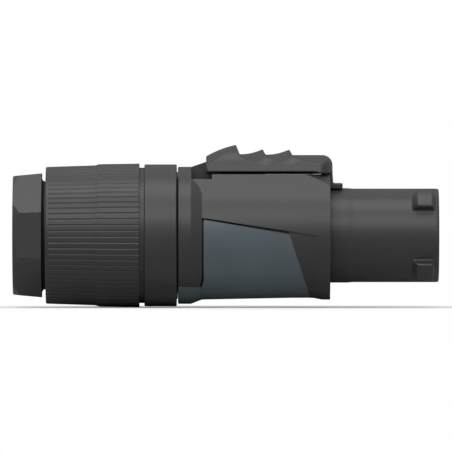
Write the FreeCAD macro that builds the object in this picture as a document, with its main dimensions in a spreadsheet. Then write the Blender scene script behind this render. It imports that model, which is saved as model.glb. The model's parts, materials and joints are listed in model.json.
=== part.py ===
import FreeCAD, Part
import Sketcher
import math
import os

# Frame: +X runs along the connector's axis to the nose, +Z is up to the slider.
# The origin lies on the axis, in the plane of the housing's front face.

# Driving sizes in millimetres, and in degrees where the name says angle

HOUSING_SIZES = (
    ("housing_length", 30.4),
    ("collar_length", 2.6),
    ("collar_cone_length", 2.2),
    ("collar_radius", 13.71),
    ("body_radius", 12.86),
    ("front_wall", 5.2),
    ("housing_bore", 10.4),
    ("edge_chamfer", 0.15),
    ("spigot_length", 14.6),
    ("spigot_radius", 12.0),
    ("shoulder_angle", 36.5),
    ("shoulder_inset", 0.02),
    ("platform_height", 12.2),
    ("front_cone_length", 5.6),
    ("front_cone_radius", 13.13),
    ("front_cone_rise", 0.99),
    ("shelf_height", 11.24),
    ("shelf_length", 4.1),
    ("waist_radius", 12.5),
    ("waist_length", 3.4),
    ("flare_length", 3.0),
    ("flare_start", 4.0),
)

RAIL_SIZES = (
    ("rail_half_width", 3.4),
    ("rail_neck_half_width", 2.3),
    ("rail_top", 14.75),
    ("rail_head_height", 1.35),
    ("ramp_length", 3.2),
    ("ramp_rise", 1.1),
    ("rail_length", 14.8),
    ("undercut_setback", 3.3),
)

SHELL_SIZES = (
    ("shell_inner_radius", 11.45),
    ("shell_seat_gap", 0.05),
    ("shell_rear_setback", 0.36),
    ("shell_top_rear", 3.13),
    ("shell_top_front", 0.27),
    ("shell_front_top_x", 8.2),
    ("shell_front_bottom_x", 3.95),
    ("shell_front_bottom_z", 12.5),
    ("shell_collar_edge", 10.3),
    ("shell_bevel_width", 0.45),
    ("shell_bevel_height", 1.35),
    ("seam_rear", 0.36),
    ("seam_front", 0.55),
    ("seam_fine", 0.01),
)

BUSHING_SIZES = (
    ("bushing_gap", 0.24),
    ("ring_length", 6.46),
    ("ring_radius", 14.19),
    ("ring_groove_length", 1.02),
    ("ring_groove_radius", 13.54),
    ("grip_length", 18.68),
    ("grip_rear_radius", 13.68),
    ("grip_mid_radius", 13.99),
    ("grip_step_radius", 14.24),
    ("grip_front_radius", 14.35),
    ("grip_step_start", 9.8),
    ("grip_step_length", 0.9),
    ("grip_rim", 0.6),
    ("grip_grooves", 75),
    ("grip_groove_width", 0.42),
    ("grip_groove_depth", 0.1),
    ("neck_length", 0.82),
    ("neck_radius", 10.82),
    ("neck_fillet", 0.6),
    ("nut_length", 5.76),
    ("nut_half_flat", 11.85),
    ("nut_half_edge", 4.43),
    ("nut_draft_angle", 5.2),
    ("nut_face_radius", 11.74),
    ("nut_chamfer_angle", 35.0),
    ("cable_bore", 8.1),
    ("cable_bore_chamfer", 0.5),
    ("cone_setback", 0.3),
    ("cone_length", 6.8),
    ("cone_rear_radius", 8.9),
    ("cone_front_radius", 11.0),
    ("thread_clearance", 0.55),
    ("counterbore_radius", 13.06),
    ("counterbore_depth", 1.96),
)

GLAND_SIZES = (
    ("chuck_clearance", 0.1),
    ("chuck_bore", 8.3),
    ("chuck_stop_bore", 7.4),
    ("chuck_tip_gap", 0.3),
    ("chuck_flange", 1.0),
    ("chuck_flange_radius", 11.85),
    ("chuck_tail", 4.0),
    ("chuck_slots", 8),
    ("chuck_slot_width", 1.2),
    ("chuck_slot_length", 8.3),
    ("chuck_keys", 2),
    ("key_half_width", 1.0),
    ("key_height", 0.65),
    ("key_length", 3.6),
    ("seal_clearance", 0.08),
    ("seal_length", 11.0),
    ("seal_bore", 6.5),
    ("seal_lip", 0.5),
    ("o_ring_section", 0.8),
    ("o_ring_groove_gap", 0.03),
)

SLIDER_SIZES = (
    ("slider_rear", 24.8),
    ("slider_front", 0.5),
    ("slider_bottom", 12.67),
    ("slider_arch_radius", 7.05),
    ("slider_arch_height", 11.15),
    ("slider_front_round", 2.0),
    ("slider_rear_bevel", 0.35),
    ("slider_wall", 1.4),
    ("slider_clearance", 0.2),
    ("slider_roof_gap", 0.2),
    ("lip_rear", 21.5),
    ("lip_front", 3.4),
    ("lip_half_width", 5.2),
    ("lip_platform_gap", 0.06),
    ("lip_front_relief", 0.07),
    ("tongue_tip", 2.52),
    ("tongue_top", 10.47),
    ("tongue_half_width", 3.25),
    ("tongue_underside", 9.72),
    ("tongue_step", 0.6),
    ("ear_half_width", 4.2),
    ("stop_wall", 0.5),
    ("stop_gap", 0.08),
    ("channel_clearance", 0.3),
    ("slider_travel", 2.7),
    ("crown_radius", 11.5),
    ("scoop_half_width", 6.25),
    ("scoop_side_radius", 7.5),
    ("scoop_back_half_width", 4.9),
    ("scoop_back_radius", 25.0),
    ("scoop_edge_height", 14.4),
    ("scoop_floor_radius", 10.8),
    ("scoop_floor_shift", 0.55),
    ("scoop_wall_angle", 10.0),
    ("scoop_one_x", 18.47),
    ("scoop_one_height", 16.25),
    ("scoop_two_x", 13.22),
    ("scoop_two_height", 16.17),
    ("scoop_three_x", 7.88),
    ("scoop_three_height", 16.07),
    ("slope_radius", 20.0),
    ("slope_centre_x", 14.68),
    ("slope_centre_z", 1.45),
    ("spring_radius", 1.0),
    ("spring_wire", 0.2),
    ("spring_pitch", 1.9),
    ("spring_height", 13.6),
    ("spring_end_gap", 0.1),
)

NOSE_SIZES = (
    ("nose_length", 21.74),
    ("nose_radius", 9.36),
    ("nose_bore", 8.1),
    ("nose_band_radius", 9.46),
    ("nose_band_length", 3.6),
    ("nose_band_taper", 0.8),
    ("nose_clearance", 0.1),
    ("nose_flange", 1.6),
    ("nose_edge", 0.1),
    ("insert_radius", 10.3),
    ("insert_seal_thickness", 0.8),
    ("lug_count", 4),
    ("lug_turn_angle", 45.0),
    ("lug_width_angle", 26.3),
    ("lug_radius", 11.12),
    ("lug_rear", 16.3),
    ("lug_ramp", 1.1),
    ("lug_front", 20.6),
)

CONTACT_SIZES = (
    ("carrier_clearance", 0.1),
    ("carrier_recess", 2.0),
    ("carrier_flange", 2.0),
    ("block_length", 12.0),
    ("arm_inner_radius", 9.1),
    ("arm_half_height", 4.2),
    ("pole_circle", 4.84),
    ("pole_angle", 120.0),
    ("slot_width", 5.6),
    ("slot_height", 1.5),
    ("slot_depth", 2.4),
    ("leaf_width", 5.2),
    ("leaf_thickness", 0.6),
    ("leaf_gap", 1.0),
    ("leaf_clearance", 0.2),
    ("stem_width", 3.0),
    ("stem_length", 3.0),
    ("cage_size", 5.0),
    ("cage_wall", 0.9),
    ("cage_length", 9.0),
    ("cage_clearance", 0.08),
    ("screw_radius", 1.3),
    ("screw_head_radius", 2.1),
    ("screw_head_height", 1.3),
    ("screw_lift", 0.15),
    ("screw_slot_width", 0.5),
    ("screw_slot_depth", 0.6),
    ("screw_hole_clearance", 0.05),
    ("clamp_thickness", 0.6),
    ("clamp_length", 4.6),
    ("clamp_clearance", 0.1),
)

ALL_SIZES = (HOUSING_SIZES + RAIL_SIZES + SHELL_SIZES + BUSHING_SIZES
             + GLAND_SIZES + SLIDER_SIZES + NOSE_SIZES + CONTACT_SIZES)

FAR = 40.0
LEFT = 1
RIGHT = -1

doc = FreeCAD.newDocument("connector")


# Sizes that carry their sheet formula with them

class Size:
    """A number together with the sheet formula that it comes from."""

    def __init__(self, value, formula):
        self.value = value
        self.formula = formula

    def __add__(self, other):
        other = as_size(other)
        return Size(self.value + other.value, "(%s + %s)" % (self.formula, other.formula))

    def __radd__(self, other):
        return as_size(other) + self

    def __sub__(self, other):
        other = as_size(other)
        return Size(self.value - other.value, "(%s - %s)" % (self.formula, other.formula))

    def __rsub__(self, other):
        return as_size(other) - self

    def __mul__(self, other):
        other = as_size(other)
        return Size(self.value * other.value, "(%s * %s)" % (self.formula, other.formula))

    def __rmul__(self, other):
        return as_size(other) * self

    def __truediv__(self, other):
        other = as_size(other)
        return Size(self.value / other.value, "(%s / %s)" % (self.formula, other.formula))

    def __neg__(self):
        return as_size(0.0) - self


def as_size(number):
    if isinstance(number, Size):
        return number
    return Size(float(number), "(%r)" % float(number))


def sine(angle):
    return Size(math.sin(math.radians(angle.value)), "sin(%s)" % angle.formula)


def cosine(angle):
    return Size(math.cos(math.radians(angle.value)), "cos(%s)" % angle.formula)


def tangent(angle):
    return sine(angle) / cosine(angle)


def root(size):
    return Size(math.sqrt(size.value), "sqrt(%s)" % size.formula)


class Sheet:
    """The driving sizes, each under its own name."""


def fill_sheet():
    sheet = doc.addObject("Spreadsheet::Sheet", "Sizes")
    named = Sheet()
    for row, (name, value) in enumerate(ALL_SIZES, start=1):
        sheet.set("A%d" % row, name)
        sheet.set("B%d" % row, str(value))
        sheet.setAlias("B%d" % row, name)
        setattr(named, name, Size(float(value), "Sizes.%s" % name))
    doc.recompute()
    return named


s = fill_sheet()


# Sketches

def plane_of(body, role):
    return [item for item in body.Origin.OriginFeatures if item.Role == role][0]


def bind(item, path, size):
    item.setExpression(path, as_size(size).formula)


def pin(sketch, kind, geometry, end, size):
    """Hold one coordinate of a point at a size measured from the sketch's origin."""
    size = as_size(size)
    number = sketch.addConstraint(Sketcher.Constraint(kind, -1, 1, geometry, end, size.value))
    bind(sketch, "Constraints[%d]" % number, size)


def arc_between(start, finish, radius, side):
    middle = (start + finish) * 0.5
    along = finish - start
    half = along.Length / 2.0
    normal = FreeCAD.Vector(-along.y, along.x, 0) * (side / along.Length)
    centre = middle + normal * math.sqrt(radius ** 2 - half ** 2)
    first, last = (start, finish) if side == LEFT else (finish, start)
    circle = Part.Circle(centre, FreeCAD.Vector(0, 0, 1), radius)
    angle_first = math.atan2(first.y - centre.y, first.x - centre.x)
    angle_last = math.atan2(last.y - centre.y, last.x - centre.x)
    if angle_last < angle_first:
        angle_last += 2 * math.pi
    return Part.ArcOfCircle(circle, angle_first, angle_last)


def draw(sketch, corners):
    """Draw a closed outline; a corner with a radius and a side starts an arc to the next corner."""
    first = sketch.GeometryCount
    points = [FreeCAD.Vector(as_size(c[0]).value, as_size(c[1]).value, 0) for c in corners]
    ends = []
    for index, corner in enumerate(corners):
        here = points[index]
        there = points[(index + 1) % len(points)]
        if len(corner) == 2:
            sketch.addGeometry(Part.LineSegment(here, there), False)
            ends.append((1, 2))
        else:
            sketch.addGeometry(arc_between(here, there, corner[2].value, corner[3]), False)
            ends.append((1, 2) if corner[3] == LEFT else (2, 1))
    for index, corner in enumerate(corners):
        here = first + index
        before = first + (index - 1) % len(corners)
        joint = Sketcher.Constraint("Coincident", before, ends[index - 1][1], here, ends[index][0])
        sketch.addConstraint(joint)
        pin(sketch, "DistanceX", here, ends[index][0], corner[0])
        pin(sketch, "DistanceY", here, ends[index][0], corner[1])
        if len(corner) == 4:
            number = sketch.addConstraint(Sketcher.Constraint("Radius", here, corner[2].value))
            bind(sketch, "Constraints[%d]" % number, corner[2])


def draw_circle(sketch, x, y, radius):
    centre = FreeCAD.Vector(as_size(x).value, as_size(y).value, 0)
    number = sketch.addGeometry(Part.Circle(centre, FreeCAD.Vector(0, 0, 1), radius.value), False)
    pin(sketch, "DistanceX", number, 3, x)
    pin(sketch, "DistanceY", number, 3, y)
    last = sketch.addConstraint(Sketcher.Constraint("Radius", number, radius.value))
    bind(sketch, "Constraints[%d]" % last, radius)


def sketch_on(body, name, role, outlines, height=None):
    sketch = body.newObject("Sketcher::SketchObject", name)
    sketch.AttachmentSupport = [(plane_of(body, role), "")]
    sketch.MapMode = "FlatFace"
    if height is not None:
        bind(sketch, "AttachmentOffset.Base.z", height)
    for outline in outlines:
        if isinstance(outline[0], (tuple, list)):
            draw(sketch, outline)
        else:
            draw_circle(sketch, outline[0], outline[1], outline[2])
    return sketch


def box_outline(x_low, x_high, y_low, y_high):
    return [(x_low, y_low), (x_high, y_low), (x_high, y_high), (x_low, y_high)]


# Features

def new_body(label):
    body = doc.addObject("PartDesign::Body", label)
    body.Label = label
    return body


def finish(body, feature, volume_before):
    """Recompute, and stop where a cut or a pad has changed nothing."""
    body.Tip = feature
    doc.recompute()
    if volume_before and abs(body.Shape.Volume - volume_before) < 1e-6:
        raise RuntimeError("%s changed nothing on %s" % (feature.Name, body.Label))
    return feature


def volume_of(body):
    return 0.0 if body.Tip is None else body.Shape.Volume


def extrude(body, name, role, outlines, start, stop, cut=False, taper=None):
    """Pad or pocket from one height to another along the plane's normal."""
    before = volume_of(body)
    sketch = sketch_on(body, name + "_sketch", role, outlines, start)
    feature = body.newObject("PartDesign::Pocket" if cut else "PartDesign::Pad", name)
    feature.Profile = sketch
    feature.Reversed = cut
    bind(feature, "Length", stop - start)
    if taper is not None:
        bind(feature, "TaperAngle", taper)
    return finish(body, feature, before)


def across(body, name, outlines, width, cut=False):
    """Pad or pocket a side outline, half to each side of the middle plane."""
    before = volume_of(body)
    sketch = sketch_on(body, name + "_sketch", "XZ_Plane", outlines)
    feature = body.newObject("PartDesign::Pocket" if cut else "PartDesign::Pad", name)
    feature.Profile = sketch
    feature.SideType = "Symmetric"
    bind(feature, "Length", width)
    return finish(body, feature, before)


def turn(body, name, outline, angle=360.0, cut=False):
    """Turn a side outline about the connector's axis."""
    before = volume_of(body)
    sketch = sketch_on(body, name + "_sketch", "XZ_Plane", [outline])
    feature = body.newObject("PartDesign::Groove" if cut else "PartDesign::Revolution", name)
    feature.Profile = sketch
    feature.ReferenceAxis = (sketch, ["H_Axis"])
    feature.Midplane = as_size(angle).value < 360.0
    bind(feature, "Angle", angle)
    return finish(body, feature, before)


def repeat_round(body, name, feature, count):
    before = volume_of(body)
    pattern = body.newObject("PartDesign::PolarPattern", name)
    pattern.Originals = [feature]
    pattern.Axis = (plane_of(body, "X_Axis"), [""])
    pattern.Angle = 360
    bind(pattern, "Occurrences", count)
    return finish(body, pattern, before)


def boolean(kind, label, base, tool):
    item = doc.addObject("Part::" + kind, label)
    item.Base = base
    item.Tool = tool
    item.Label = label
    doc.recompute()
    return item


def arch_edges(feature, x):
    """Names of the curved edges that lie in the plane at x."""
    names = []
    for number, edge in enumerate(feature.Shape.Edges, start=1):
        box = edge.BoundBox
        flat = abs(box.XMin - x) < 1e-4 and abs(box.XMax - x) < 1e-4
        if flat and isinstance(edge.Curve, Part.Circle):
            names.append("Edge%d" % number)
    return names


# Stations along the axis

collar_rear = -s.housing_length
collar_front = collar_rear + s.collar_length
body_rear = collar_front + s.collar_cone_length
spigot_rear = collar_rear - s.spigot_length
wall_inside = -s.front_wall

ring_front = collar_rear - s.bushing_gap
ring_rear = ring_front - s.ring_length
grip_front = ring_rear - s.ring_groove_length
grip_rear = grip_front - s.grip_length
nut_front = grip_rear - s.neck_length
nut_rear = nut_front - s.nut_length
cone_rear = nut_front + s.cone_setback
cone_front = cone_rear + s.cone_length
push_step = spigot_rear - s.chuck_flange - 2 * s.chuck_clearance

o_ring_groove = 2 * s.o_ring_section + 4 * s.o_ring_groove_gap
o_ring_floor = s.counterbore_radius - 2 * s.o_ring_section - 2 * s.o_ring_groove_gap

seal_front = wall_inside
flange_front = seal_front - s.insert_seal_thickness
flange_rear = flange_front - s.nose_flange
carrier_rear = flange_rear - s.carrier_flange
block_rear = carrier_rear - s.block_length
chuck_front = spigot_rear + s.chuck_tail
carrier_face = s.nose_length - s.carrier_recess


# Clamping bushing

def groove_outline(radius):
    """V-shaped section of one grip groove, with upright sides above the given radius."""
    top = radius + 0.6
    half = s.grip_groove_width / 2
    return [(0.0, radius - s.grip_groove_depth), (half, radius), (half, top), (-half, top), (-half, radius)]


def grip_cut(body, name, start, stop, start_radius, stop_radius):
    """Cut one length of the grip's grooves, all round."""
    before = volume_of(body)
    first = sketch_on(body, name + "_start", "YZ_Plane", [groove_outline(start_radius)], start)
    last = sketch_on(body, name + "_stop", "YZ_Plane", [groove_outline(stop_radius)], stop)
    doc.recompute()
    groove = body.newObject("PartDesign::SubtractiveLoft", name)
    groove.Profile = first
    groove.Sections = [(last, [""])]
    groove.Ruled = True
    finish(body, groove, before)
    repeat_round(body, name + "s", groove, s.grip_grooves)


def make_bushing():
    body = new_body("bushing")
    flat = s.nut_half_flat
    edge = s.nut_half_edge
    octagon = [(flat, -edge), (flat, edge), (edge, flat), (-edge, flat),
               (-flat, edge), (-flat, -edge), (-edge, -flat), (edge, -flat)]
    extrude(body, "nut", "YZ_Plane", [octagon], nut_rear, nut_front, taper=s.nut_draft_angle)
    step_start = grip_rear + s.grip_step_start
    step_stop = step_start + s.grip_step_length
    r = s.edge_chamfer
    sleeve = [
        (nut_rear + 1.0, 0.0),
        (nut_rear + 1.0, s.neck_radius + s.neck_fillet),
        (nut_front, s.neck_radius + s.neck_fillet),
        (nut_front + s.neck_fillet / 2, s.neck_radius + s.neck_fillet / 6),
        (nut_front + s.neck_fillet, s.neck_radius),
        (grip_rear, s.neck_radius),
        (grip_rear, s.grip_rear_radius - r),
        (grip_rear + r, s.grip_rear_radius),
        (step_start, s.grip_mid_radius),
        (step_stop, s.grip_step_radius),
        (grip_front, s.grip_front_radius),
        (grip_front, s.ring_groove_radius),
        (ring_rear, s.ring_groove_radius),
        (ring_rear, s.ring_radius - r),
        (ring_rear + r, s.ring_radius),
        (ring_front - r, s.ring_radius),
        (ring_front, s.ring_radius - r),
        (ring_front, 0.0),
    ]
    turn(body, "sleeve", sleeve)
    rise = tangent(s.nut_chamfer_angle)
    rear_chamfer = [
        (nut_rear - 1.0, s.nut_face_radius - rise),
        (nut_rear + 4.0, s.nut_face_radius + 4.0 * rise),
        (nut_rear - 1.0, s.nut_face_radius + 4.0 * rise),
    ]
    turn(body, "nut_chamfer", rear_chamfer, cut=True)
    thread_bore = s.spigot_radius + s.thread_clearance
    counterbore_rear = ring_front - s.counterbore_depth
    cavity = [
        (nut_rear - 1.0, 0.0),
        (nut_rear - 1.0, s.cable_bore + s.cable_bore_chamfer + 1.0),
        (nut_rear + s.cable_bore_chamfer, s.cable_bore),
        (cone_rear, s.cable_bore),
        (cone_rear, s.cone_rear_radius),
        (cone_front, s.cone_front_radius),
        (push_step, s.cone_front_radius),
        (push_step, thread_bore),
        (counterbore_rear, thread_bore),
        (counterbore_rear, s.counterbore_radius),
        (ring_front + 1.0, s.counterbore_radius),
        (ring_front + 1.0, 0.0),
    ]
    turn(body, "cavity", cavity, cut=True)
    grip_cut(body, "rear_groove", grip_rear + s.grip_rim, step_start,
             s.grip_rear_radius, s.grip_mid_radius)
    grip_cut(body, "step_groove", step_start - 0.01, step_stop,
             s.grip_mid_radius, s.grip_step_radius)
    grip_cut(body, "front_groove", step_stop - 0.01, grip_front + 0.3,
             s.grip_step_radius, s.grip_front_radius)
    return body


# Cable gland inside the bushing

def make_chuck():
    body = new_body("chuck")
    gap = s.chuck_clearance
    tip = cone_rear + s.chuck_tip_gap
    outer = s.housing_bore - gap
    flange_back = push_step + gap
    profile = [
        (tip, s.chuck_bore),
        (tip, s.cone_rear_radius - gap),
        (cone_front + s.chuck_tip_gap, s.cone_front_radius - gap),
        (flange_back, s.cone_front_radius - gap),
        (flange_back, s.chuck_flange_radius),
        (spigot_rear - gap, s.chuck_flange_radius),
        (spigot_rear - gap, outer),
        (chuck_front, outer),
        (chuck_front, s.chuck_stop_bore),
        (spigot_rear, s.chuck_stop_bore),
        (spigot_rear, s.chuck_bore),
    ]
    turn(body, "collet", profile)
    half = s.chuck_slot_width / 2
    slot = box_outline(-half, half, 5.0, s.cone_front_radius + 2.0)
    first = extrude(body, "slot", "YZ_Plane", [slot], tip - 1.0, tip + s.chuck_slot_length, cut=True)
    repeat_round(body, "slots", first, s.chuck_slots)
    key = box_outline(-s.key_half_width, s.key_half_width, s.chuck_bore, outer + s.key_height)
    first = extrude(body, "key", "YZ_Plane", [key], spigot_rear - gap, spigot_rear + s.key_length)
    repeat_round(body, "keys", first, s.chuck_keys)
    return body


def make_cable_seal():
    body = new_body("cable_seal")
    front = spigot_rear - s.seal_clearance
    rear = front - s.seal_length
    lips = 3
    pitch = s.seal_length / (2 * lips + 1)
    profile = [
        (front, s.seal_bore),
        (front, s.chuck_bore - s.seal_clearance),
        (rear, s.chuck_bore - s.seal_clearance),
        (rear, s.seal_bore),
    ]
    for lip in range(lips):
        start = rear + (2 * lip + 1) * pitch
        profile.append((start, s.seal_bore))
        profile.append((start + pitch / 2, s.seal_bore - s.seal_lip))
        profile.append((start + pitch, s.seal_bore))
    turn(body, "sleeve", profile)
    return body


def make_thread_o_ring():
    body = new_body("thread_o_ring")
    middle = collar_rear - o_ring_groove / 2
    centre = s.counterbore_radius - s.o_ring_section - s.o_ring_groove_gap
    half = s.o_ring_section / 2
    section = [
        (middle - s.o_ring_section, centre - half),
        (middle - half, centre - s.o_ring_section),
        (middle + half, centre - s.o_ring_section),
        (middle + s.o_ring_section, centre - half),
        (middle + s.o_ring_section, centre + half),
        (middle + half, centre + s.o_ring_section),
        (middle - half, centre + s.o_ring_section),
        (middle - s.o_ring_section, centre + half),
    ]
    turn(body, "ring", section)
    return body


# Housing

def shell_side(rear_gap, seam_rear, seam_front, fine):
    """Side outline of the lower shell, grown by the given gaps for its recess."""
    rear = body_rear + s.shell_rear_setback - rear_gap
    slope = (s.shell_front_bottom_x - s.shell_front_top_x) / (s.shell_top_front + s.shell_front_bottom_z)
    top_x = slope * seam_front - s.shell_front_top_x
    low = s.collar_radius + 1.0
    low_x = -s.shell_front_bottom_x - slope * (low - s.shell_front_bottom_z)
    return [
        (collar_rear - fine, -s.shell_collar_edge + fine),
        (rear - s.shell_bevel_width, -s.shell_collar_edge + fine),
        (rear, -s.shell_collar_edge + s.shell_bevel_height),
        (rear, s.shell_top_rear + seam_rear),
        (top_x + fine, s.shell_top_front + seam_front),
        (low_x + fine, -low),
        (collar_rear - fine, -low),
    ]


def waist_corners():
    """The flare from the waist out to the front lip, from rear to front."""
    rise = s.body_radius + 0.01 - s.waist_radius
    half = s.flare_length / 2
    radius = (half * half + rise * rise / 4) / rise
    return [
        (-s.flare_start, s.waist_radius, radius, LEFT),
        (-s.flare_start + half, s.waist_radius + rise / 2, radius, RIGHT),
        (-s.flare_start + s.flare_length, s.waist_radius + rise),
    ]


def make_shell_recess():
    ring = new_body("recess_ring")
    outer = s.collar_radius + 2.0
    inner = s.shell_inner_radius - s.shell_seat_gap
    rear = collar_rear - 0.5
    turn(ring, "ring", box_outline(rear, as_size(-1.0), inner, outer))
    side = new_body("recess_side")
    outline = shell_side(s.shell_rear_setback, s.seam_rear, s.seam_front, s.seam_fine)
    across(side, "side", [outline], as_size(FAR))
    return boolean("Common", "shell_recess", ring, side)


def make_waist_cut():
    ring = new_body("waist_ring")
    rear = -s.flare_start - s.waist_length - 2.0
    outer = s.collar_radius + 2.0
    flare = waist_corners()
    profile = [(rear, s.waist_radius)] + flare + [(flare[-1][0], outer), (rear, outer)]
    turn(ring, "ring", profile)
    side = new_body("waist_side")
    run = -s.shell_front_top_x - body_rear - s.shell_rear_setback
    slope = (s.shell_top_front - s.shell_top_rear) / run
    edge = s.shell_top_front + s.seam_front
    line_rear = edge + slope * (rear + s.shell_front_top_x)
    line_front = edge + slope * s.shell_front_top_x
    low = -s.collar_radius - 1.0
    outline = [(rear, line_rear), (as_size(0.0), line_front), (as_size(0.0), low), (rear, low)]
    across(side, "side", [outline], as_size(FAR))
    return boolean("Common", "waist_cut", ring, side)


def make_housing_block():
    body = new_body("housing_block")
    r = s.edge_chamfer
    groove_rear = collar_rear - o_ring_groove
    outer = [
        (spigot_rear, 0.0),
        (spigot_rear, s.spigot_radius - r),
        (spigot_rear + r, s.spigot_radius),
        (groove_rear, s.spigot_radius),
        (groove_rear, o_ring_floor),
        (collar_rear, o_ring_floor),
        (collar_rear, s.collar_radius - r),
        (collar_rear + r, s.collar_radius),
        (collar_front, s.collar_radius),
        (body_rear, s.body_radius),
        (0.0, s.body_radius),
        (0.0, 0.0),
    ]
    turn(body, "barrel", outer)

    # Sloping shoulders up to the platform, trimmed by a cone at the front
    reach = s.body_radius - s.shoulder_inset
    foot_y = reach * cosine(s.shoulder_angle)
    foot_z = reach * sine(s.shoulder_angle)
    top_y = (reach - s.platform_height * sine(s.shoulder_angle)) / cosine(s.shoulder_angle)
    hump = [(0.0, 0.0), (foot_y, foot_z), (top_y, s.platform_height),
            (-top_y, s.platform_height), (-foot_y, foot_z)]
    extrude(body, "hump", "YZ_Plane", [hump], collar_front, as_size(0.0))
    slope = s.front_cone_rise / s.front_cone_length
    trim = [
        (-s.front_cone_length, s.front_cone_radius + s.front_cone_rise),
        (1.0, s.front_cone_radius - slope),
        (1.0, s.collar_radius + 3.0),
        (-s.front_cone_length, s.collar_radius + 3.0),
    ]
    turn(body, "front_cone", trim, cut=True)

    # Flat platform, the shelf behind it, and the rail that the slider rides on
    shelf_rear = collar_front + 0.1
    flat = box_outline(shelf_rear, as_size(1.0), s.platform_height, s.platform_height + 3.0)
    across(body, "platform", [flat], as_size(FAR), cut=True)
    shelf = box_outline(shelf_rear, shelf_rear + s.shelf_length, s.shelf_height, s.platform_height + 2.0)
    across(body, "shelf", [shelf], as_size(FAR), cut=True)
    ramp_foot = collar_front - 0.02
    rail_front = ramp_foot + s.rail_length
    rail = [
        (ramp_foot, s.shelf_height - 0.5),
        (ramp_foot, s.rail_top - s.ramp_rise),
        (ramp_foot + s.ramp_length, s.rail_top),
        (rail_front, s.rail_top),
        (rail_front, s.shelf_height - 0.5),
    ]
    across(body, "rail", [rail], 2 * s.rail_half_width)
    head_low = s.rail_top - s.rail_head_height
    outside = s.rail_half_width + 1.0
    undercut = [
        box_outline(s.rail_neck_half_width, outside, s.platform_height, head_low),
        box_outline(-outside, -s.rail_neck_half_width, s.platform_height, head_low),
    ]
    undercut_rear = ramp_foot + s.undercut_setback
    extrude(body, "undercut", "YZ_Plane", undercut, undercut_rear, rail_front + 1.0, cut=True)

    # Bore from the rear, hole for the nose, channel for the tongue and key slots for the chuck
    hole = s.nose_band_radius + s.nose_clearance
    bore = [
        (spigot_rear - 1.0, 0.0),
        (spigot_rear - 1.0, s.housing_bore),
        (wall_inside, s.housing_bore),
        (wall_inside, hole),
        (1.0, hole),
        (1.0, 0.0),
    ]
    turn(body, "bore", bore, cut=True)
    channel_rear = -s.slider_wall - s.slider_travel - s.channel_clearance
    channel_low = s.nose_radius - 1.0
    channel_top = s.platform_height + 1.0
    half = s.tongue_half_width + s.channel_clearance
    channel = box_outline(-half, half, channel_low, channel_top)
    extrude(body, "tongue_channel", "YZ_Plane", [channel], channel_rear, as_size(1.0), cut=True)
    half = s.ear_half_width + s.channel_clearance
    ear_room = box_outline(-half, half, channel_low, channel_top)
    extrude(body, "ear_room", "YZ_Plane", [ear_room], channel_rear, -s.stop_wall, cut=True)
    key_half = s.key_half_width + s.chuck_clearance
    key = box_outline(-key_half, key_half, s.housing_bore - 1.0, s.housing_bore + s.key_height)
    key_stop = spigot_rear + s.key_length + 2 * s.chuck_clearance
    first = extrude(body, "key_slot", "YZ_Plane", [key], spigot_rear - 1.0, key_stop, cut=True)
    repeat_round(body, "key_slots", first, s.chuck_keys)
    return body


def make_main_housing():
    block = make_housing_block()
    shaped = boolean("Cut", "waisted_block", block, make_waist_cut())
    return boolean("Cut", "main_housing", shaped, make_shell_recess())


def make_lower_shell():
    ring = new_body("shell_ring")
    r = s.edge_chamfer
    waist_rear = -s.flare_start - s.waist_length
    profile = [
        (collar_rear, s.shell_inner_radius),
        (collar_rear, s.collar_radius - r),
        (collar_rear + r, s.collar_radius),
        (collar_front, s.collar_radius),
        (body_rear, s.body_radius),
        (waist_rear, s.waist_radius),
    ]
    flare = waist_corners()
    profile += flare + [(flare[-1][0], s.shell_inner_radius)]
    turn(ring, "ring", profile)
    side = new_body("shell_side")
    zero = as_size(0.0)
    across(side, "side", [shell_side(zero, zero, zero, zero)], as_size(FAR))
    return boolean("Common", "lower_shell", ring, side)


# Locking slider

# Sections through the floor of a finger step, by their distance in front of its lowest point
SCOOP_STATIONS = (-1.5, 2.2, 6.3)


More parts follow.
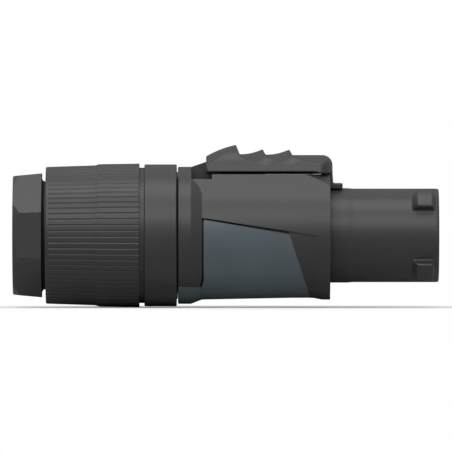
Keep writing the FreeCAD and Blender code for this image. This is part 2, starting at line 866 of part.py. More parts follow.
def make_slider_block():
    body = new_body("slider_block")
    rear = -s.slider_rear
    rise = s.slider_bottom - s.slider_arch_height
    half = root(s.slider_arch_radius * s.slider_arch_radius - rise * rise)
    arch = [
        (-half, s.slider_bottom),
        (half, s.slider_bottom, s.slider_arch_radius, LEFT),
    ]
    pad = extrude(body, "arch", "YZ_Plane", [arch], rear, s.slider_front)
    front_round = body.newObject("PartDesign::Fillet", "front_round")
    front_round.Base = (pad, arch_edges(pad, s.slider_front.value))
    bind(front_round, "Radius", s.slider_front_round)
    finish(body, front_round, 0.0)
    rear_bevel = body.newObject("PartDesign::Chamfer", "rear_bevel")
    rear_bevel.Base = (front_round, arch_edges(front_round, rear.value))
    bind(rear_bevel, "Size", s.slider_rear_bevel)
    finish(body, rear_bevel, 0.0)

    # Front wall with the locking tongue, hollowed to clear the nose
    wall = [
        (-s.slider_wall, s.slider_bottom + 1.0),
        (-s.slider_wall, s.tongue_underside - 1.0),
        (s.tongue_tip, s.tongue_underside - 1.0),
        (s.tongue_tip, s.tongue_top),
        (s.tongue_step, s.tongue_top),
        (s.slider_front, s.slider_bottom + 1.0),
    ]
    across(body, "tongue", [wall], 2 * s.tongue_half_width)
    ears = box_outline(-s.slider_wall, -s.stop_wall - s.stop_gap,
                       s.tongue_underside - 1.0, s.slider_bottom + 0.3)
    across(body, "stop_ears", [ears], 2 * s.ear_half_width)
    hollow = box_outline(-s.slider_wall - 1.0, s.tongue_tip + 1.0, as_size(0.0), s.tongue_underside)
    turn(body, "tongue_hollow", hollow, cut=True)

    # Runners on the platform, and the channel that goes round the rail
    runner_low = s.platform_height + s.lip_platform_gap
    lip = s.rail_neck_half_width + s.slider_clearance
    runners = [
        box_outline(lip, s.lip_half_width, runner_low, s.slider_bottom + 0.3),
        box_outline(-s.lip_half_width, -lip, runner_low, s.slider_bottom + 0.3),
    ]
    extrude(body, "runners", "YZ_Plane", runners, -s.lip_rear, -s.lip_front)
    relieved = runner_low + s.lip_front_relief
    ends = [
        box_outline(lip, s.lip_half_width, relieved, s.slider_bottom + 0.3),
        box_outline(-s.lip_half_width, -lip, relieved, s.slider_bottom + 0.3),
    ]
    extrude(body, "runner_ends", "YZ_Plane", ends, -s.lip_front - 0.5, -s.slider_wall + 0.2)
    wide = s.rail_half_width + s.slider_clearance
    head_low = s.rail_top - s.rail_head_height - s.slider_clearance
    roof = s.rail_top + s.slider_roof_gap
    low = s.slider_bottom - 1.0
    inside = -s.slider_wall
    extrude(body, "neck_slot", "YZ_Plane", [box_outline(-lip, lip, low, roof)],
            rear - 1.0, inside, cut=True)
    extrude(body, "head_slot", "YZ_Plane", [box_outline(-wide, wide, head_low, roof)],
            rear - 1.0, inside, cut=True)
    extrude(body, "rear_slot", "YZ_Plane", [box_outline(-wide, wide, low, roof)],
            rear - 1.0, -s.lip_rear, cut=True)
    return body


def crown_section(height):
    """What lies above a crowned floor, whose sides run out at the same height for every crown."""
    half = s.scoop_half_width
    rise = height - s.scoop_edge_height
    crown = (half * half + rise * rise) / (2 * rise)
    reach = half + 0.6
    side = height - crown + root(crown * crown - reach * reach)
    top = s.slider_bottom + 9.0
    return [(-reach, side), (-reach, top), (reach, top), (reach, side, crown, LEFT)]


def make_scoop(name, x, height, last):
    """One finger step: a thumb-shaped plan above a hollow floor that is round across the slider."""
    low = s.slider_bottom + 1.0
    back = -x + (height - low) * tangent(s.scoop_wall_angle)
    plan = new_body(name + "_plan")
    wide = s.scoop_half_width
    corner_y = s.scoop_back_half_width
    back_radius = s.scoop_back_radius
    side_radius = s.scoop_side_radius
    corner_x = back + back_radius - root(back_radius * back_radius - corner_y * corner_y)
    rise = corner_y + side_radius - wide
    side_x = corner_x + root(side_radius * side_radius - rise * rise)
    u_shape = [
        (side_x, wide, side_radius, LEFT),
        (corner_x, corner_y, back_radius, LEFT),
        (corner_x, -corner_y, side_radius, LEFT),
        (side_x, -wide),
        (side_x + 12.0, -wide),
        (side_x + 12.0, wide),
    ]
    extrude(plan, "plan", "XY_Plane", [u_shape], low, low + 8.0, taper=s.scoop_wall_angle)
    floor = new_body(name + "_floor")
    if last:
        extrude(floor, "floor", "YZ_Plane", [crown_section(height)], -x - 4.0, as_size(4.0))
        return boolean("Common", name, plan, floor)
    sections = []
    radius = s.scoop_floor_radius
    for number, distance in enumerate(SCOOP_STATIONS):
        rise = radius - root(radius * radius - distance * distance)
        outline = crown_section(height + rise)
        station = s.scoop_floor_shift - x + distance
        sections.append(sketch_on(floor, "floor_%d" % number, "YZ_Plane", [outline], station))
    doc.recompute()
    hollow = floor.newObject("PartDesign::AdditiveLoft", "floor")
    hollow.Profile = sections[0]
    hollow.Sections = [(sketch, [""]) for sketch in sections[1:]]
    finish(floor, hollow, 0.0)
    return boolean("Common", name, plan, floor)


def make_rear_slope():
    """What is cut away above the rounded slope behind the first finger step."""
    block = new_body("slope_block")
    stop = -s.scoop_one_x + 0.4
    outline = box_outline(-s.slider_rear - 1.0, stop, s.slider_bottom + 0.6, s.slider_bottom + 8.0)
    across(block, "block", [outline], as_size(16.0))
    barrel = new_body("slope_barrel")
    half = as_size(7.5)
    drop = s.crown_radius - root(s.crown_radius * s.crown_radius - half * half)
    centre = -s.slope_centre_z
    top = centre + s.slope_radius
    section = [(-half, centre), (half, centre),
               (half, top - drop, s.crown_radius, LEFT), (-half, top - drop)]
    sketch = sketch_on(barrel, "barrel_sketch", "YZ_Plane", [section], -s.slope_centre_x)
    feature = barrel.newObject("PartDesign::Revolution", "barrel")
    feature.Profile = sketch
    feature.ReferenceAxis = (sketch, ["Edge1"])
    feature.Angle = 360
    finish(barrel, feature, 0.0)
    return boolean("Cut", "rear_slope", block, barrel)


def make_front_corner():
    """What is cut away in front of the rounded top edge of the slider."""
    body = new_body("front_corner")
    r = s.slider_front_round
    top = s.scoop_three_height
    outside = s.slider_front + 1.0
    outline = [
        (s.slider_front, top - r, r, LEFT),
        (s.slider_front - r, top),
        (s.slider_front - r, top + 1.0),
        (outside, top + 1.0),
        (outside, top - r),
    ]
    across(body, "corner", [outline], as_size(16.0))
    return body


def make_locking_slider():
    slider = boolean("Cut", "sloped_slider", make_slider_block(), make_rear_slope())
    steps = (
        ("scoop_one", s.scoop_one_x, s.scoop_one_height, False),
        ("scoop_two", s.scoop_two_x, s.scoop_two_height, False),
        ("scoop_three", s.scoop_three_x, s.scoop_three_height, True),
    )
    for name, x, height, last in steps:
        slider = boolean("Cut", "slider_after_" + name, slider, make_scoop(name, x, height, last))
    return boolean("Cut", "locking_slider", slider, make_front_corner())


def make_slider_spring():
    body = new_body("slider_spring")
    rail_front = collar_front - 0.02 + s.rail_length
    start = rail_front + s.spring_wire + s.spring_end_gap
    length = -s.slider_wall - rail_front - 2 * s.spring_wire - 2 * s.spring_end_gap
    half = s.spring_wire
    wire = box_outline(-half, half, s.spring_radius - half, s.spring_radius + half)
    sketch = sketch_on(body, "wire_sketch", "XZ_Plane", [wire])
    coil = body.newObject("PartDesign::AdditiveHelix", "coil")
    coil.Profile = sketch
    coil.ReferenceAxis = (sketch, ["H_Axis"])
    coil.Mode = "pitch-height-angle"
    bind(coil, "Pitch", s.spring_pitch)
    bind(coil, "Height", length)
    finish(body, coil, 0.0)
    bind(body, "Placement.Base.x", start)
    bind(body, "Placement.Base.z", s.spring_height)
    doc.recompute()
    return body


# Nose and insert

def make_nose_shell():
    body = new_body("nose_shell")
    e = s.nose_edge
    band = s.nose_band_length
    tube = [
        (flange_rear, s.nose_bore),
        (flange_rear, s.insert_radius),
        (flange_front, s.insert_radius),
        (flange_front, s.nose_band_radius),
        (band, s.nose_band_radius),
        (band + s.nose_band_taper, s.nose_radius),
        (s.nose_length - e, s.nose_radius),
        (s.nose_length, s.nose_radius - e),
        (s.nose_length, s.nose_bore + e),
        (s.nose_length - e, s.nose_bore),
    ]
    turn(body, "tube", tube)
    inside = s.nose_radius - 0.4
    lug = [
        (s.lug_rear, inside),
        (s.lug_rear, s.nose_radius),
        (s.lug_rear + s.lug_ramp, s.lug_radius),
        (s.lug_front, s.lug_radius),
        (s.lug_front, inside),
    ]
    first = turn(body, "lug", lug, s.lug_width_angle)
    repeat_round(body, "lugs", first, s.lug_count)
    body.Placement = FreeCAD.Placement(FreeCAD.Vector(), FreeCAD.Rotation(FreeCAD.Vector(1, 0, 0), 45))
    bind(body, "Placement.Rotation.Angle", s.lug_turn_angle)
    doc.recompute()
    return body


def make_insert_seal():
    body = new_body("insert_seal")
    inner = s.nose_band_radius + s.nose_clearance
    turn(body, "ring", box_outline(flange_front, seal_front, inner, s.insert_radius))
    return body


def pole_places():
    """Name, turn about X and centre of each pole; the blade lies square to the turned Z."""
    side = s.pole_circle * sine(s.pole_angle)
    low = s.pole_circle * cosine(s.pole_angle)
    zero = as_size(0.0)
    return (
        ("earth", 0, zero, s.pole_circle),
        ("line", 90, -side, low),
        ("neutral", -90, side, low),
    )


def pole_boxes(width, height, shift=0.0):
    """A box outline at each pole, as wide as its blade; shift moves it outwards along its screw."""
    outlines = []
    for name, angle, y, z in pole_places():
        half_wide = as_size(width) / 2
        half_high = as_size(height) / 2
        if angle == 0:
            outlines.append(box_outline(y - half_wide, y + half_wide,
                                        z + shift - half_high, z + shift + half_high))
        else:
            out = -1 if angle > 0 else 1
            middle = y + out * as_size(shift)
            outlines.append(box_outline(middle - half_high, middle + half_high,
                                        z - half_wide, z + half_wide))
    return outlines


def make_contact_carrier():
    body = new_body("contact_carrier")
    e = s.nose_edge
    outer = s.nose_bore - s.carrier_clearance
    profile = [
        (carrier_rear, 0.0),
        (carrier_rear, s.insert_radius),
        (flange_rear, s.insert_radius),
        (flange_rear, outer),
        (carrier_face - e, outer),
        (carrier_face, outer - e),
        (carrier_face, 0.0),
    ]
    turn(body, "plug", profile)
    mouths = pole_boxes(s.slot_width, s.slot_height)
    mouth_rear = carrier_face - s.slot_depth - 0.5
    extrude(body, "mouths", "YZ_Plane", mouths, mouth_rear, carrier_face + 1.0, cut=True)
    clear = 2 * s.leaf_clearance
    stack = 2 * s.leaf_thickness + s.leaf_gap + clear
    cells = pole_boxes(s.leaf_width + clear, stack)
    extrude(body, "cells", "YZ_Plane", cells, carrier_rear - 1.0, carrier_face - s.slot_depth, cut=True)
    return body


def make_terminal_block():
    body = new_body("terminal_block")
    arm_rear = chuck_front + s.chuck_clearance
    profile = [
        (arm_rear, s.arm_inner_radius),
        (arm_rear, s.insert_radius),
        (carrier_rear, s.insert_radius),
        (carrier_rear, 0.0),
        (block_rear, 0.0),
        (block_rear, s.arm_inner_radius),
    ]
    turn(body, "block", profile)
    wide = s.insert_radius + 1.0
    gaps = [
        box_outline(-wide, wide, s.arm_half_height, wide),
        box_outline(-wide, wide, -wide, -s.arm_half_height),
    ]
    extrude(body, "arm_gaps", "YZ_Plane", gaps, arm_rear - 1.0, block_rear, cut=True)
    room = s.cage_size + 2 * s.cage_clearance
    cages = pole_boxes(room, room)
    cage_front = block_rear + s.cage_length + 0.3
    extrude(body, "cage_rooms", "YZ_Plane", cages, block_rear - 1.0, cage_front, cut=True)
    clear = 2 * s.leaf_clearance
    stems = pole_boxes(s.stem_width + clear, 2 * s.leaf_thickness + clear)
    extrude(body, "stem_slots", "YZ_Plane", stems, cage_front - 0.5, carrier_rear + 1.0, cut=True)

    # Ways in for the screwdriver, one at each terminal
    reach = s.screw_head_radius + 0.25
    head_room = s.insert_radius - s.pole_circle
    ways = pole_boxes(2 * reach, head_room * 2, s.cage_size / 2 + head_room - 0.2)
    middle = block_rear + s.cage_length / 2
    extrude(body, "screw_ways", "YZ_Plane", ways, middle - reach, middle + reach, cut=True)
    return body


def place(body, angle, y, z):
    body.Placement = FreeCAD.Placement(FreeCAD.Vector(), FreeCAD.Rotation(FreeCAD.Vector(1, 0, 0), angle))
    bind(body, "Placement.Base.y", y)
    bind(body, "Placement.Base.z", z)
    doc.recompute()
    return body


def make_contact(name, angle, y, z):
    body = new_body(name + "_contact")
    half = s.cage_size / 2
    inside = half - s.cage_wall
    cage_rear = block_rear + 0.1
    cage_front = cage_rear + s.cage_length
    shell = [box_outline(-half, half, -half, half), box_outline(-inside, inside, -inside, inside)]
    extrude(body, "cage", "YZ_Plane", shell, cage_rear, cage_front)
    extrude(body, "end", "YZ_Plane", [box_outline(-half, half, -half, half)],
            cage_front - s.cage_wall, cage_front)
    stem_half = s.stem_width / 2
    thick = s.leaf_thickness
    stem = box_outline(-stem_half, stem_half, -thick, thick)
    fork_rear = carrier_rear + 0.8
    extrude(body, "stem", "YZ_Plane", [stem], cage_front - s.cage_wall, fork_rear + 1.0)
    wide = s.leaf_width / 2
    inner = s.leaf_gap / 2
    outer = inner + thick
    base = box_outline(-wide, wide, -outer, outer)
    extrude(body, "fork_base", "YZ_Plane", [base], fork_rear, fork_rear + 1.5)
    leaves = [box_outline(-wide, wide, inner, outer), box_outline(-wide, wide, -outer, -inner)]
    leaf_front = carrier_face - s.slot_depth - s.leaf_clearance
    extrude(body, "leaves", "YZ_Plane", leaves, fork_rear + 1.0, leaf_front)
    middle = block_rear + s.cage_length / 2
    hole = (middle, as_size(0.0), s.screw_radius + s.screw_hole_clearance)
    extrude(body, "screw_hole", "XY_Plane", [hole], inside - 0.5, half + 0.5, cut=True)
    return place(body, angle, y, z)


def make_terminal_screw(name, angle, y, z):
    body = new_body(name + "_terminal_screw")
    middle = block_rear + s.cage_length / 2
    zero = as_size(0.0)
    half = s.cage_size / 2
    tip = half - s.cage_wall - s.clamp_clearance
    head_low = half + s.screw_lift
    head_top = head_low + s.screw_head_height
    extrude(body, "shank", "XY_Plane", [(middle, zero, s.screw_radius)], tip, head_low + 0.2)
    extrude(body, "head", "XY_Plane", [(middle, zero, s.screw_head_radius)], head_low, head_top)
    cut = s.screw_slot_width / 2
    long = s.screw_head_radius + 0.5
    slot = box_outline(middle - long, middle + long, -cut, cut)
    extrude(body, "drive_slot", "XY_Plane", [slot], head_top - s.screw_slot_depth, head_top + 0.5, cut=True)
    return place(body, angle, y, z)


def make_wire_clamp(name, angle, y, z):
    body = new_body(name + "_wire_clamp")
    middle = block_rear + s.cage_length / 2
    inside = s.cage_size / 2 - s.cage_wall
    long = s.clamp_length / 2
    wide = inside - s.clamp_clearance
    top = inside - s.clamp_clearance
    plate = box_outline(middle - long, middle + long, -wide, wide)
    extrude(body, "plate", "XY_Plane", [plate], top - s.clamp_thickness, top)
    return place(body, angle, y, z)


# Build, check and write the pieces

def check(items):
    for item in doc.Objects:
        if "Invalid" in item.State or "Error" in item.State:
            raise RuntimeError("%s is in state %s" % (item.Label, item.State))
    for item in items:
        if item.Shape.isNull() or not item.Shape.isValid():
            raise RuntimeError("%s has no valid shape" % item.Label)


def main():
    pieces = [
        make_main_housing(),
        make_lower_shell(),
        make_locking_slider(),
        make_slider_spring(),
        make_nose_shell(),
        make_insert_seal(),
        make_contact_carrier(),
        make_terminal_block(),
        make_bushing(),
        make_chuck(),
        make_cable_seal(),
        make_thread_o_ring(),
    ]
    for name, angle, y, z in pole_places():
        pieces.append(make_contact(name, angle, y, z))
        pieces.append(make_terminal_screw(name, angle, y, z))
        pieces.append(make_wire_clamp(name, angle, y, z))
    doc.recompute()
    check(pieces)
    os.makedirs("parts", exist_ok=True)
    for piece in pieces:
        piece.Shape.exportStep("parts/%s.step" % piece.Label)


main()
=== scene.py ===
import json
import math

import bmesh
import bpy
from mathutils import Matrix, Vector


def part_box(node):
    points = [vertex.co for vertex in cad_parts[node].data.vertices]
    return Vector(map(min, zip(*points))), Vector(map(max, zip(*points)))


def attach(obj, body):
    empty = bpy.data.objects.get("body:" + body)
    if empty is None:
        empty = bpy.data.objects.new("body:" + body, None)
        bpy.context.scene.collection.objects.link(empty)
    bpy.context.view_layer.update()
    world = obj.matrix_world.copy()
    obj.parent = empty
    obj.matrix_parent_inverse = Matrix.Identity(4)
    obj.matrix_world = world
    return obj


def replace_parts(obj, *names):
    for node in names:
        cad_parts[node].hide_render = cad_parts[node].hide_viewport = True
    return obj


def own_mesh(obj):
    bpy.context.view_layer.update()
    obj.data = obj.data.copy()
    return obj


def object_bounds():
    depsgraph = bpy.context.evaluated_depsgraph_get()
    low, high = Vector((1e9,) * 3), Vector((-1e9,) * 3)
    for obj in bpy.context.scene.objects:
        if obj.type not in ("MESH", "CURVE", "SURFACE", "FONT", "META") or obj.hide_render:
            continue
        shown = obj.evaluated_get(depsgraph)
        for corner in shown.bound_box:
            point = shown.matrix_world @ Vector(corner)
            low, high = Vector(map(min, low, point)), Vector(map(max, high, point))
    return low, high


# Frame: metres, +X along the axis to the nose, +Z up to the slider, -Y the side in the photograph

MM = 0.001
PHOTO_PIXELS = 452
PIXEL = 0.2 * MM

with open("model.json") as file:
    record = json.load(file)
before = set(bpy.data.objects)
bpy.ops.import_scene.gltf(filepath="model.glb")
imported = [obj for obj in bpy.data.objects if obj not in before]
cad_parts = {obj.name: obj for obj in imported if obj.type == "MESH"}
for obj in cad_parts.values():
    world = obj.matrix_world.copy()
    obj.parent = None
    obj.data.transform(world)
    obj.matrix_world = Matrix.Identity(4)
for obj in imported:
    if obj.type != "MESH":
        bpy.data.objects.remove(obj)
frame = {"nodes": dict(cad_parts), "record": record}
cad_low, cad_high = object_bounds()


# Material nodes

# Most of a noise lies between these two values
NOISE_LOW = 0.3
NOISE_HIGH = 0.7

EDGE_SAMPLES = 6

# From the first to the second facing value, this much roughness is added
GRAZE_START = 0.45
GRAZE_STOP = 0.9
GRAZE_ROUGHNESS = 0.35


def new_material(name):
    material = bpy.data.materials.new(name)
    material.use_nodes = True
    tree = material.node_tree
    return material, tree, tree.nodes["Principled BSDF"]


def noise(tree, size, detail, stretch=(1.0, 1.0, 1.0)):
    """Noise whose blobs are about one size across, in metres, fixed to the piece."""
    place = tree.nodes.new("ShaderNodeTexCoord")
    mapping = tree.nodes.new("ShaderNodeMapping")
    mapping.inputs["Scale"].default_value = stretch
    texture = tree.nodes.new("ShaderNodeTexNoise")
    texture.inputs["Scale"].default_value = 1.0 / size
    texture.inputs["Detail"].default_value = detail
    tree.links.new(place.outputs["Object"], mapping.inputs["Vector"])
    tree.links.new(mapping.outputs["Vector"], texture.inputs["Vector"])
    return texture.outputs["Fac"]


def spread(tree, value, low, high):
    """Stretch the middle of a noise over a range of values."""
    node = tree.nodes.new("ShaderNodeMapRange")
    node.inputs["From Min"].default_value = NOISE_LOW
    node.inputs["From Max"].default_value = NOISE_HIGH
    node.inputs["To Min"].default_value = low
    node.inputs["To Max"].default_value = high
    tree.links.new(value, node.inputs["Value"])
    return node.outputs["Result"]


def tint(tree, value, colour, change):
    """A colour that the noise makes a little darker and lighter."""
    node = tree.nodes.new("ShaderNodeValToRGB")
    ends = ((NOISE_LOW, 1.0 - change), (NOISE_HIGH, 1.0 + change))
    for stop, (position, factor) in zip(node.color_ramp.elements, ends):
        stop.position = position
        stop.color = [channel * factor for channel in colour] + [1.0]
    tree.links.new(value, node.inputs["Fac"])
    return node.outputs["Color"]


def bump(tree, shader, height, strength, depth, edge):
    """Fine relief from the noise, over edges that shade as if rounded to the given radius."""
    rounded = tree.nodes.new("ShaderNodeBevel")
    rounded.samples = EDGE_SAMPLES
    rounded.inputs["Radius"].default_value = edge
    node = tree.nodes.new("ShaderNodeBump")
    node.inputs["Strength"].default_value = strength
    node.inputs["Distance"].default_value = depth
    tree.links.new(height, node.inputs["Height"])
    tree.links.new(rounded.outputs["Normal"], node.inputs["Normal"])
    tree.links.new(node.outputs["Normal"], shader.inputs["Normal"])


def matt_when_grazed(tree, roughness):
    """A textured moulding scatters more light where it is seen at a grazing angle."""
    weight = tree.nodes.new("ShaderNodeLayerWeight")
    graze = tree.nodes.new("ShaderNodeMapRange")
    graze.inputs["From Min"].default_value = GRAZE_START
    graze.inputs["From Max"].default_value = GRAZE_STOP
    graze.inputs["To Max"].default_value = GRAZE_ROUGHNESS
    total = tree.nodes.new("ShaderNodeMath")
    tree.links.new(weight.outputs["Facing"], graze.inputs["Value"])
    tree.links.new(roughness, total.inputs[0])
    tree.links.new(graze.outputs["Result"], total.inputs[1])
    return total.outputs[0]


# Materials

FINE_GRAIN = 0.16 * MM
COARSE_GRAIN = 0.3 * MM


def plastic(name, colour, roughness, specular, grain):
    """Moulded plastic with the fine spark-eroded texture of the mould."""
    material, tree, shader = new_material(name)
    texture = noise(tree, size=grain, detail=3.0)
    cloud = noise(tree, size=6 * MM, detail=3.0)
    tree.links.new(tint(tree, cloud, colour, change=0.06), shader.inputs["Base Color"])
    dull = spread(tree, texture, low=roughness - 0.05, high=roughness + 0.05)
    tree.links.new(matt_when_grazed(tree, dull), shader.inputs["Roughness"])
    shader.inputs["Specular IOR Level"].default_value = specular
    bump(tree, shader, texture, strength=0.35, depth=0.012 * MM, edge=0.07 * MM)
    return material


def rubber(name, colour, specular):
    """Soft matt rubber with a faint bloom."""
    material, tree, shader = new_material(name)
    texture = noise(tree, size=COARSE_GRAIN, detail=4.0)
    tree.links.new(tint(tree, texture, colour, change=0.15), shader.inputs["Base Color"])
    tree.links.new(spread(tree, texture, low=0.7, high=0.85), shader.inputs["Roughness"])
    shader.inputs["Specular IOR Level"].default_value = specular
    bump(tree, shader, texture, strength=0.4, depth=0.02 * MM, edge=0.1 * MM)
    return material


def metal(name, colour, roughness, stretch):
    """Plated sheet or wire, with fine lines along the direction that the noise is stretched in."""
    material, tree, shader = new_material(name)
    lines = noise(tree, size=0.25 * MM, detail=3.0, stretch=stretch)
    stain = noise(tree, size=1.5 * MM, detail=2.0)
    dull = spread(tree, lines, low=roughness - 0.05, high=roughness + 0.07)
    tree.links.new(tint(tree, stain, colour, change=0.04), shader.inputs["Base Color"])
    tree.links.new(dull, shader.inputs["Roughness"])
    shader.inputs["Metallic"].default_value = 1.0
    bump(tree, shader, lines, strength=0.12, depth=0.003 * MM, edge=0.05 * MM)
    return material


ALONG_AXIS = (0.08, 1.0, 1.0)
EVEN = (1.0, 1.0, 1.0)

BLACK = (0.014, 0.014, 0.0143)
BLUE_GREY = (0.050, 0.066, 0.076)
INSULATOR_BLACK = (0.022, 0.022, 0.023)
CHUCK_BLACK = (0.045, 0.045, 0.048)
RUBBER_BLACK = (0.016, 0.016, 0.017)
SILVER = (0.80, 0.78, 0.74)
ZINC = (0.60, 0.61, 0.63)

MATERIALS = {
    "black_plastic": plastic("black_plastic", BLACK, 0.42, 0.33, FINE_GRAIN),
    "blue_grey_plastic": plastic("blue_grey_plastic", BLUE_GREY, 0.42, 0.33, FINE_GRAIN),
    "insulator": plastic("insulator", INSULATOR_BLACK, 0.42, 0.4, COARSE_GRAIN),
    "chuck_plastic": plastic("chuck_plastic", CHUCK_BLACK, 0.45, 0.4, COARSE_GRAIN),
    "rubber": rubber("rubber", RUBBER_BLACK, 0.3),
    "contact_brass": metal("contact_silver", SILVER, 0.28, ALONG_AXIS),
    "steel": metal("zinc_steel", ZINC, 0.32, EVEN),
}


def dress_nodes():
    """Give each node the material of its slot in the record."""
    for part in frame["record"]["subparts"]:
        mesh = frame["nodes"][part["node"]].data
        mesh.materials.clear()
        mesh.materials.append(MATERIALS[part["material_slot"]])


# Pieces made here: the screw thread on both sides of its gap, and the spring of round wire

THREAD_PITCH = 2.0 * MM
THREAD_ROOT_WIDTH = 1.1 * MM
THREAD_CREST_WIDTH = 0.5 * MM
THREAD_STEPS = 60
THREAD_RUN_OUT = 0.25
THREAD_END_HEIGHT = 0.08
THREAD_FRONT = -33.4 * MM

WIRE_RADIUS = 0.2 * MM
WIRE_SIDES = 10
SPRING_STEPS = 36
OPEN_TURNS = 6
CLOSED_TURNS = 2


def skin(sections):
    """A mesh over a row of closed sections, with a cap at each end."""
    form = bmesh.new()
    rings = [[form.verts.new(point) for point in section] for section in sections]
    for ring, following in zip(rings, rings[1:]):
        for side in range(len(ring)):
            near = ring[side - 1]
            form.faces.new((near, ring[side], following[side], following[side - 1]))
    form.faces.new(rings[0])
    form.faces.new(rings[-1])
    bmesh.ops.recalc_face_normals(form, faces=form.faces)
    return form


def add_piece(name, form, body, slot):
    """Make a piece of a mesh, with its material, and let it ride on a body."""
    mesh = bpy.data.meshes.new(name)
    form.to_mesh(mesh)
    form.free()
    mesh.materials.append(MATERIALS[slot])
    piece = bpy.data.objects.new(name, mesh)
    bpy.context.scene.collection.objects.link(piece)
    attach(piece, body)
    return piece


def round_axis(x, radius, angle):
    """A point at a distance from the connector's axis."""
    return Vector((x, radius * math.cos(angle), radius * math.sin(angle)))


def thread_ridge(name, body, shift, root, crest, start):
    """A right-hand ridge between two radii, which runs out over a quarter turn at both ends."""
    length = THREAD_FRONT - start
    turns = length / THREAD_PITCH
    steps = round(turns * THREAD_STEPS)
    sections = []
    for step in range(steps + 1):
        share = step / steps
        turns_from_end = turns * min(share, 1.0 - share)
        tip = root + (crest - root) * min(1.0, THREAD_END_HEIGHT + turns_from_end / THREAD_RUN_OUT)
        x = start + length * share
        angle = math.tau * (x - shift) / THREAD_PITCH
        outline = (
            (-THREAD_ROOT_WIDTH, root),
            (-THREAD_CREST_WIDTH, tip),
            (THREAD_CREST_WIDTH, tip),
            (THREAD_ROOT_WIDTH, root),
        )
        sections.append([round_axis(x + width / 2, radius, angle) for width, radius in outline])
    return add_piece(name, skin(sections), body, "black_plastic")


def wire_section(centre, outward, across):
    """A ring of points round the middle of the wire."""
    points = []
    for side in range(WIRE_SIDES):
        turn = math.tau * side / WIRE_SIDES
        direction = outward * math.cos(turn) + across * math.sin(turn)
        points.append(centre + direction * WIRE_RADIUS)
    return points


def coil_spring():
    """Compression spring of round wire with closed end turns, in place of the plain solid coil."""
    low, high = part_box("slider_spring")
    length = high.x - low.x
    radius = (high.z - low.z) / 2 - WIRE_RADIUS
    middle = Vector((0.0, 0.0, (low.z + high.z) / 2))
    closed_rise = 2 * WIRE_RADIUS
    # A closed turn at each end, and half of the wire's thickness beyond both
    open_rise = (length - (CLOSED_TURNS + 1) * closed_rise) / OPEN_TURNS
    x = low.x + WIRE_RADIUS
    sections = []
    for step in range(SPRING_STEPS * (OPEN_TURNS + CLOSED_TURNS) + 1):
        is_open = SPRING_STEPS <= step < SPRING_STEPS * (OPEN_TURNS + 1)
        rise = open_rise if is_open else closed_rise
        outward = round_axis(0.0, 1.0, math.tau * step / SPRING_STEPS)
        tangent = Vector((rise, 0.0, 0.0)) + outward.cross((-math.tau * radius, 0.0, 0.0))
        across = tangent.cross(outward).normalized()
        centre = middle + outward * radius + Vector((x, 0.0, 0.0))
        sections.append(wire_section(centre, outward, across))
        x += rise / SPRING_STEPS
    piece = add_piece("coil_spring", skin(sections), "housing", "steel")
    for face in piece.data.polygons:
        face.use_smooth = True
    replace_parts(piece, "slider_spring")
    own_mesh(piece)


def make_pieces():
    thread_ridge("spigot_thread", "housing", shift=0.0,
                 root=11.95 * MM, crest=12.42 * MM, start=-44.2 * MM)
    thread_ridge("bushing_thread", "bushing", shift=THREAD_PITCH / 2,
                 root=12.60 * MM, crest=12.12 * MM, start=-45.4 * MM)
    coil_spring()


# The slider and the nose made again with rounded edges, and the slider's front with its bow

SLIDER_GRAIN = 0.122 * MM
NOSE_GRAIN = 0.22 * MM
WELD_REACH = 0.002 * MM
SMOOTHING = 0.5

FRONT_BOW = 0.65 * MM
RIM_DIP = 0.3 * MM
RUNNER_DROP = 0.05 * MM

# In millimetres, where each change of the front starts and where it is full: X along, Y out, Z up
HALF_WIDTH = 6.3
BOW_ALONG = (-3.5, -0.3)
BOW_UP = (11.6, 12.5)
RIM_ALONG = (-3.4, -1.0)
RIM_OUT = (4.5, 5.3)
RIM_FROM_BELOW = (12.55, 12.65)
RIM_FROM_ABOVE = (14.2, 12.8)

# In millimetres, what the ends of the runners lie between
RUNNER_ALONG = (-3.6, -1.2)
RUNNER_UP = (12.28, 12.4)

# The upright corners of the front lie beyond these
CORNER_X = -3.5 * MM
CORNER_Y = 3 * MM
CORNER_Z = 13.1 * MM


def remade(name, grain):
    """The form of a solid in small even faces."""
    model = bpy.data.objects.new(name + "_model", frame["nodes"][name].data)
    bpy.context.scene.collection.objects.link(model)
    weld = model.modifiers.new("weld", "WELD")
    weld.merge_threshold = WELD_REACH
    even = model.modifiers.new("even", "REMESH")
    even.mode = "VOXEL"
    even.voxel_size = grain
    form = bmesh.new()
    form.from_object(model, bpy.context.evaluated_depsgraph_get())
    bpy.data.objects.remove(model)
    for face in form.faces:
        face.smooth = True
    return form


def round_edges(form, vertices, repeats):
    """Draw each vertex towards its neighbours, which rounds the edges more with each repeat."""
    for _ in range(repeats):
        bmesh.ops.smooth_vert(form, verts=vertices, factor=SMOOTHING,
                              use_axis_x=True, use_axis_y=True, use_axis_z=True)


def soft_step(value, start, stop):
    """0 at start and 1 at stop, with a smooth rise between them."""
    share = min(1.0, max(0.0, (value - start) / (stop - start)))
    return share * share * (3.0 - 2.0 * share)


def within(value, limits):
    return limits[0] < value < limits[1]


def shape_front(form):
    """Draw the corners of the slider's front back from its middle, and lower its rim and runners."""
    for vertex in form.verts:
        x, y, z = vertex.co / MM
        bow = soft_step(x, *BOW_ALONG) * soft_step(z, *BOW_UP) * (y / HALF_WIDTH) ** 2
        rim_height = soft_step(z, *RIM_FROM_BELOW) * soft_step(z, *RIM_FROM_ABOVE)
        rim = soft_step(x, *RIM_ALONG) * soft_step(abs(y), *RIM_OUT) * rim_height
        vertex.co.x -= FRONT_BOW * bow
        vertex.co.z -= RIM_DIP * rim
        if within(x, RUNNER_ALONG) and within(z, RUNNER_UP):
            vertex.co.z -= RUNNER_DROP


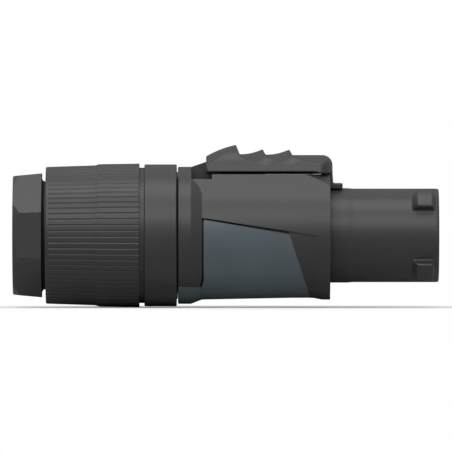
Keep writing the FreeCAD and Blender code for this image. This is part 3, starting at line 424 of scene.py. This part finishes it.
def front_corners(form):
    """The vertices round the two upright corners of the slider's front."""
    return [vertex for vertex in form.verts
            if vertex.co.x > CORNER_X and vertex.co.z > CORNER_Z and abs(vertex.co.y) > CORNER_Y]


def make_mouldings():
    slider = remade("locking_slider", SLIDER_GRAIN)
    shape_front(slider)
    round_edges(slider, slider.verts, repeats=8)
    round_edges(slider, front_corners(slider), repeats=60)
    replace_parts(add_piece("rounded_slider", slider, "slider", "black_plastic"), "locking_slider")
    nose = remade("nose_shell", NOSE_GRAIN)
    round_edges(nose, nose.verts, repeats=4)
    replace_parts(add_piece("rounded_nose", nose, "housing", "black_plastic"), "nose_shell")


# Stage, lamps and camera

FLOOR_SIZE = 0.6
FLOOR_X = -0.02
FLOOR_GAP = 0.05 * MM
FLOOR_COLOUR = (0.70, 0.70, 0.70)
FADE_START = 0.02
FADE_STOP = 0.09

ROOM_LIGHT = 0.16
WHITE_LIGHT = 1.0

LAMP_X = -0.13

CAMERA_DISTANCE = 2.5
CAMERA_X = -20.8 * MM
CAMERA_Z = 1.87 * MM
SENSOR_WIDTH = 36.0


def plane(name, size, place):
    """A level square."""
    mesh = bpy.data.meshes.new(name)
    half = size / 2
    corners = [(-half, -half, 0.0), (half, -half, 0.0), (half, half, 0.0), (-half, half, 0.0)]
    mesh.from_pydata(corners, [], [(0, 1, 2, 3)])
    item = bpy.data.objects.new(name, mesh)
    item.location = place
    bpy.context.scene.collection.objects.link(item)
    return item


def seen_rays(tree):
    """1 for rays that show the background: from the camera, from gloss and through glass."""
    path = tree.nodes.new("ShaderNodeLightPath")
    first = tree.nodes.new("ShaderNodeMath")
    first.operation = "MAXIMUM"
    second = tree.nodes.new("ShaderNodeMath")
    second.operation = "MAXIMUM"
    tree.links.new(path.outputs["Is Camera Ray"], first.inputs[0])
    tree.links.new(path.outputs["Is Glossy Ray"], first.inputs[1])
    tree.links.new(first.outputs[0], second.inputs[0])
    tree.links.new(path.outputs["Is Transmission Ray"], second.inputs[1])
    return second.outputs[0]


def fade_out(tree):
    """0 near the middle of the floor and 1 beyond, by the distance from the connector."""
    place = tree.nodes.new("ShaderNodeTexCoord")
    distance = tree.nodes.new("ShaderNodeVectorMath")
    distance.operation = "LENGTH"
    fade = tree.nodes.new("ShaderNodeMapRange")
    fade.interpolation_type = "SMOOTHSTEP"
    fade.inputs["From Min"].default_value = FADE_START
    fade.inputs["From Max"].default_value = FADE_STOP
    tree.links.new(place.outputs["Object"], distance.inputs[0])
    tree.links.new(distance.outputs["Value"], fade.inputs["Value"])
    return fade.outputs["Result"]


def make_floor():
    """A pale floor that the connector lies on, and that runs out into the white background."""
    floor = plane("floor", FLOOR_SIZE, (FLOOR_X, 0.0, cad_low.z - FLOOR_GAP))
    material, tree, shader = new_material("floor_paper")
    fibre = noise(tree, size=4 * MM, detail=3.0)
    tree.links.new(tint(tree, fibre, FLOOR_COLOUR, change=0.01), shader.inputs["Base Color"])
    shader.inputs["Roughness"].default_value = 0.9
    shader.inputs["Specular IOR Level"].default_value = 0.1
    white = tree.nodes.new("ShaderNodeEmission")
    share = tree.nodes.new("ShaderNodeMath")
    share.operation = "MULTIPLY"
    tree.links.new(seen_rays(tree), share.inputs[0])
    tree.links.new(fade_out(tree), share.inputs[1])
    blend = tree.nodes.new("ShaderNodeMixShader")
    tree.links.new(share.outputs[0], blend.inputs["Fac"])
    tree.links.new(shader.outputs["BSDF"], blend.inputs[1])
    tree.links.new(white.outputs["Emission"], blend.inputs[2])
    tree.links.new(blend.outputs["Shader"], tree.nodes["Material Output"].inputs["Surface"])
    floor.data.materials.append(material)


def make_world():
    """A background that shows white and lights the connector only a little."""
    world = bpy.data.worlds.new("studio")
    world.use_nodes = True
    tree = world.node_tree
    background = tree.nodes["Background"]
    background.inputs["Color"].default_value = (1.0, 1.0, 1.0, 1.0)
    strength = tree.nodes.new("ShaderNodeMapRange")
    strength.inputs["To Min"].default_value = ROOM_LIGHT
    strength.inputs["To Max"].default_value = WHITE_LIGHT
    tree.links.new(seen_rays(tree), strength.inputs["Value"])
    tree.links.new(strength.outputs["Result"], background.inputs["Strength"])
    bpy.context.scene.world = world


def soft_box(name, place, size, power):
    """A lamp of a given width and height, turned to the connector's axis."""
    data = bpy.data.lights.new(name, "AREA")
    data.shape = "RECTANGLE"
    data.size = size[0]
    data.size_y = size[1]
    data.energy = power
    lamp = bpy.data.objects.new(name, data)
    lamp.location = place
    direction = Vector((LAMP_X, 0.0, 0.0)) - Vector(place)
    lamp.rotation_euler = direction.to_track_quat("-Z", "Y").to_euler()
    bpy.context.scene.collection.objects.link(lamp)


def make_lamps():
    """Two soft boxes, above and in front, that reach further to the rear than to the nose."""
    soft_box("key", place=(LAMP_X, -0.10, 0.5), size=(0.56, 0.3), power=2.05)
    soft_box("front", place=(LAMP_X, -0.42, 0.30), size=(0.66, 0.25), power=2.12)


def make_camera():
    """Level, long lens, framed as the photograph."""
    data = bpy.data.cameras.new("camera")
    data.sensor_width = SENSOR_WIDTH
    data.lens = SENSOR_WIDTH * CAMERA_DISTANCE / (PHOTO_PIXELS * PIXEL)
    camera = bpy.data.objects.new("camera", data)
    camera.location = (CAMERA_X, -CAMERA_DISTANCE, CAMERA_Z)
    camera.rotation_euler = (math.radians(90), 0.0, 0.0)
    bpy.context.scene.collection.objects.link(camera)
    bpy.context.scene.camera = camera


dress_nodes()
make_pieces()
make_mouldings()
make_floor()
make_world()
make_lamps()
make_camera()
bpy.context.scene.view_settings.view_transform = "Standard"
